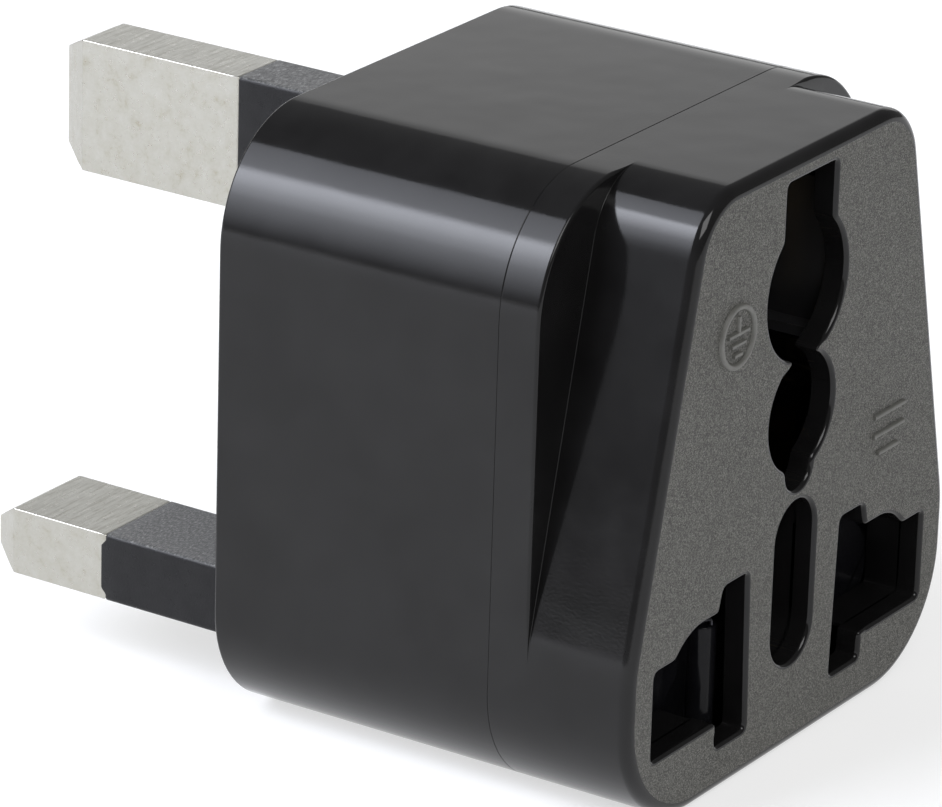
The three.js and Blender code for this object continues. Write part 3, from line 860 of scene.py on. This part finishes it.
def plated_metal():
    """Dull plating: faint stains on the upright faces, fine drawn lines across those that look up, with those
    upward faces painted lighter as painted light.
    """
    material, tree, shader = new_material("dull_nickel_plate")
    shader.inputs["Metallic"].default_value = 1.0
    upward = facing_up(tree)
    stains = noise(tree, 900, 10, 0.75, 0.2)
    stained, dull, clean = (0.36, 0.34, 0.275), (0.435, 0.425, 0.38), (0.48, 0.475, 0.44)
    flanks = ramp(tree, stains, [(0.3, stained), (0.44, dull), (0.7, clean)])
    drawn_lines = noise(tree, 5200, 4, 0.7, 0.0, (0.08, 1, 0.35))
    # The faces that look up get a paler palette than the upright ones: painted light on the tops, besides
    # their drawn lines.
    stained, dull, clean = (0.5, 0.49, 0.44), (0.63, 0.625, 0.58), (0.7, 0.695, 0.65)
    tops_painted_lighter = ramp(tree, drawn_lines, [(0.35, stained), (0.5, dull), (0.65, clean)])
    blend(tree, upward, flanks, tops_painted_lighter, shader.inputs["Base Color"])
    rough = ramp(tree, noise(tree, 2600, 6, 0.7), [(0.3, 0.24), (0.7, 0.38)])
    tree.links.new(rough, shader.inputs["Roughness"])
    brushed = bump(tree, shader, drawn_lines, 0.3, 0.00004)
    bump(tree, shader, noise(tree, 2200, 6, 0.7), 0.22, 0.00006, brushed)
    return material


def plain_metal(name, low, high, rough):
    material, tree, shader = new_material(name)
    shader.inputs["Metallic"].default_value = 1.0
    colour = ramp(tree, noise(tree, 500, 5), [(0.3, low), (0.75, high)])
    tree.links.new(colour, shader.inputs["Base Color"])
    roughness = ramp(tree, noise(tree, 1500, 4), [(0.3, rough), (0.75, rough + 0.14)])
    tree.links.new(roughness, shader.inputs["Roughness"])
    bump(tree, shader, noise(tree, 3000, 3, 0.6, 0.0, (1, 0.2, 1)), 0.1, 0.00002)
    return material


# ---------------------------------------------------------------- stage, light and camera

def make_floor():
    half_size, squares = 1.6, 24
    mesh = bmesh.new()
    bmesh.ops.create_grid(mesh, x_segments=squares, y_segments=squares, size=half_size)
    data = bpy.data.meshes.new("floor")
    mesh.to_mesh(data)
    mesh.free()
    floor = bpy.data.objects.new("floor", data)
    bpy.context.collection.objects.link(floor)
    material, tree, shader = new_material("pale_floor")
    colour = ramp(tree, noise(tree, 3, 2), [(0.3, (0.41, 0.41, 0.41)), (0.8, (0.43, 0.43, 0.43))])
    tree.links.new(colour, shader.inputs["Base Color"])
    shader.inputs["Roughness"].default_value = 0.85
    shader.inputs["Specular IOR Level"].default_value = 0.1
    shader.inputs["Emission Color"].default_value = (1, 1, 1, 1)
    shader.inputs["Emission Strength"].default_value = 0.62
    data.materials.append(material)


def area_light(name, direction, distance, across, size, radiance, colour=(1, 1, 1)):
    """A soft box seen from the object in a given direction, its first side along across."""
    facing = Vector(direction).normalized()
    side = Vector(across)
    side = (side - facing * side.dot(facing)).normalized()
    data = bpy.data.lights.new(name, "AREA")
    data.shape = "RECTANGLE"
    data.size, data.size_y = size
    data.energy = radiance * math.pi * size[0] * size[1]
    data.color = colour
    light = bpy.data.objects.new(name, data)
    turned = Matrix((side, facing.cross(side), facing)).transposed().to_4x4()
    light.matrix_world = Matrix.Translation(Vector((0, 0, 0.02)) + facing * distance) @ turned
    bpy.context.collection.objects.link(light)
    return light


def make_lights():
    """A graded box to the left for the rounded corners, a tall panel behind for the top, and a key light."""
    world = bpy.data.worlds.new("studio")
    bpy.context.scene.world = world
    world.use_nodes = True
    background = world.node_tree.nodes["Background"]
    background.inputs["Color"].default_value = (1, 1, 1, 1)
    background.inputs["Strength"].default_value = 0.2
    up = (0, 0, 1)
    pale_blue = (0.93, 0.96, 1.06)
    box = area_light("left_box", (-0.669, 0.506, 0.544), 0.6, (-0.68, 0, -0.733), (0.84, 0.5), 14.4, pale_blue)
    from_top = [(0, 0.2), (0.3, 0.34), (0.36, 1.0), (0.44, 0.85), (0.6, 0.36), (0.78, 0.14), (0.9, 0.043)]
    shade(box, from_top + [(0.96, 0.01)])
    panel = area_light("back_panel", (0.783, 0.506, 0.27), 1.2, up, (0.5, 1.3), 0.86)
    shade(panel, [(0.4, 1.0), (0.57, 0.9), (0.64, 0.66), (0.75, 0.5), (1, 0.4)])
    area_light("key", (-0.35, -0.6, 0.72), 0.9, up, (0.5, 0.5), 5)


def shade(light, stops):
    """Grades a soft box's brightness along its first side."""
    light.data.use_nodes = True
    tree = light.data.node_tree
    place = tree.nodes.new("ShaderNodeNewGeometry")
    split = tree.nodes.new("ShaderNodeSeparateXYZ")
    tree.links.new(place.outputs["Parametric"], split.inputs["Vector"])
    colour = ramp(tree, split.outputs["X"], stops)
    tree.links.new(colour, tree.nodes["Emission"].inputs["Color"])


def make_camera():
    azimuth, elevation, roll = math.radians(-57.13), math.radians(21.29), math.radians(1.72)
    distance = 0.348525
    focal_length = 239.49172
    back = Vector((
        math.sin(azimuth) * math.cos(elevation),
        -math.cos(azimuth) * math.cos(elevation),
        math.sin(elevation),
    ))
    right = (-back).cross(Vector((0, 0, 1))).normalized()
    up = right.cross(-back)
    across = right * math.cos(roll) + up * math.sin(roll)
    upright = up * math.cos(roll) - right * math.sin(roll)
    target = to_metres((-6.743, -10.0, 12.352))
    data = bpy.data.cameras.new("camera")
    data.sensor_fit = "HORIZONTAL"
    data.sensor_width = 36
    data.lens = focal_length
    data.clip_start = 0.01
    data.clip_end = 20
    camera = bpy.data.objects.new("camera", data)
    camera.matrix_world = Matrix((
        (across.x, upright.x, back.x, 0),
        (across.y, upright.y, back.y, 0),
        (across.z, upright.z, back.z, 0),
        (0, 0, 0, 1),
    ))
    camera.location = target + back * distance
    bpy.context.collection.objects.link(camera)
    bpy.context.scene.camera = camera


# ---------------------------------------------------------------- assembly

bpy.context.scene.view_settings.view_transform = "Standard"
make_camera()
make_lights()
make_floor()

gloss = gloss_plastic()
grain = grained_plastic()
base_satin = satin_plastic("satin_black_plastic", (0.008, 0.008, 0.009), (0.014, 0.014, 0.015), 0.3, 0.45)
mark_plastic = satin_plastic("mark_plastic", (0.1, 0.099, 0.09), (0.13, 0.129, 0.118), 0.4, 0.5, 1500)
sleeve_black = sleeve_plastic()
inner_black = satin_plastic("inner_plastic", (0.006, 0.006, 0.007), (0.012, 0.012, 0.013), 0.35, 0.5, 500)
door_black = satin_plastic("door_plastic", (0.004, 0.004, 0.005), (0.008, 0.008, 0.009), 0.1, 0.16, 500, 0.15)
nickel = plated_metal()
brass = plain_metal("rolled_brass", (0.62, 0.44, 0.2), (0.76, 0.58, 0.3), 0.25)
steel = plain_metal("zinc_plated_steel", (0.5, 0.5, 0.52), (0.66, 0.66, 0.66), 0.25)
blued = plain_metal("blued_spring_steel", (0.05, 0.05, 0.055), (0.09, 0.09, 0.1), 0.3)


def add(piece, node, body="case"):
    """Puts a new piece under its body, and hides the CAD node that it replaces, if any."""
    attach(piece, body)
    if node:
        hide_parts(node)


add(make_front_cover(gloss, grain), "front_cover")
add(make_rear_shell(gloss, base_satin), "rear_shell")
add(make_marks(mark_plastic), None)
for side, pin in (("earth", EARTH), ("line", LINE), ("neutral", NEUTRAL)):
    add(make_pin(f"{side}_pin_body", pin, f"{side}_pin", nickel), f"{side}_pin")
    add(make_sleeve(f"{side}_sleeve_body", pin, sleeve_black), f"{side}_pin_sleeve")

joints = {joint["name"]: joint for joint in frame["record"]["behaviour"]["joints"]}
for side, sign in (("line", -1), ("neutral", 1)):
    door = make_shutter(f"{side}_shutter_door", sign, joints[f"{side}_shutter_hinge"], door_black)
    add(door, f"{side}_shutter", f"{side}_door")

# Materials of the CAD nodes that keep their own shape, by name or by the name after the side's
LOOKS = {
    "contact_carrier": inner_black,
    "contact": brass,
    "rivet": brass,
    "shutter_pin": blued,
    "shutter_spring": blued,
    "side_screw": steel,
}
for name, node in frame["nodes"].items():
    look = LOOKS.get(name) or LOOKS.get(name.split("_", 1)[1])
    if look:
        node.data.materials.clear()
        node.data.materials.append(look)
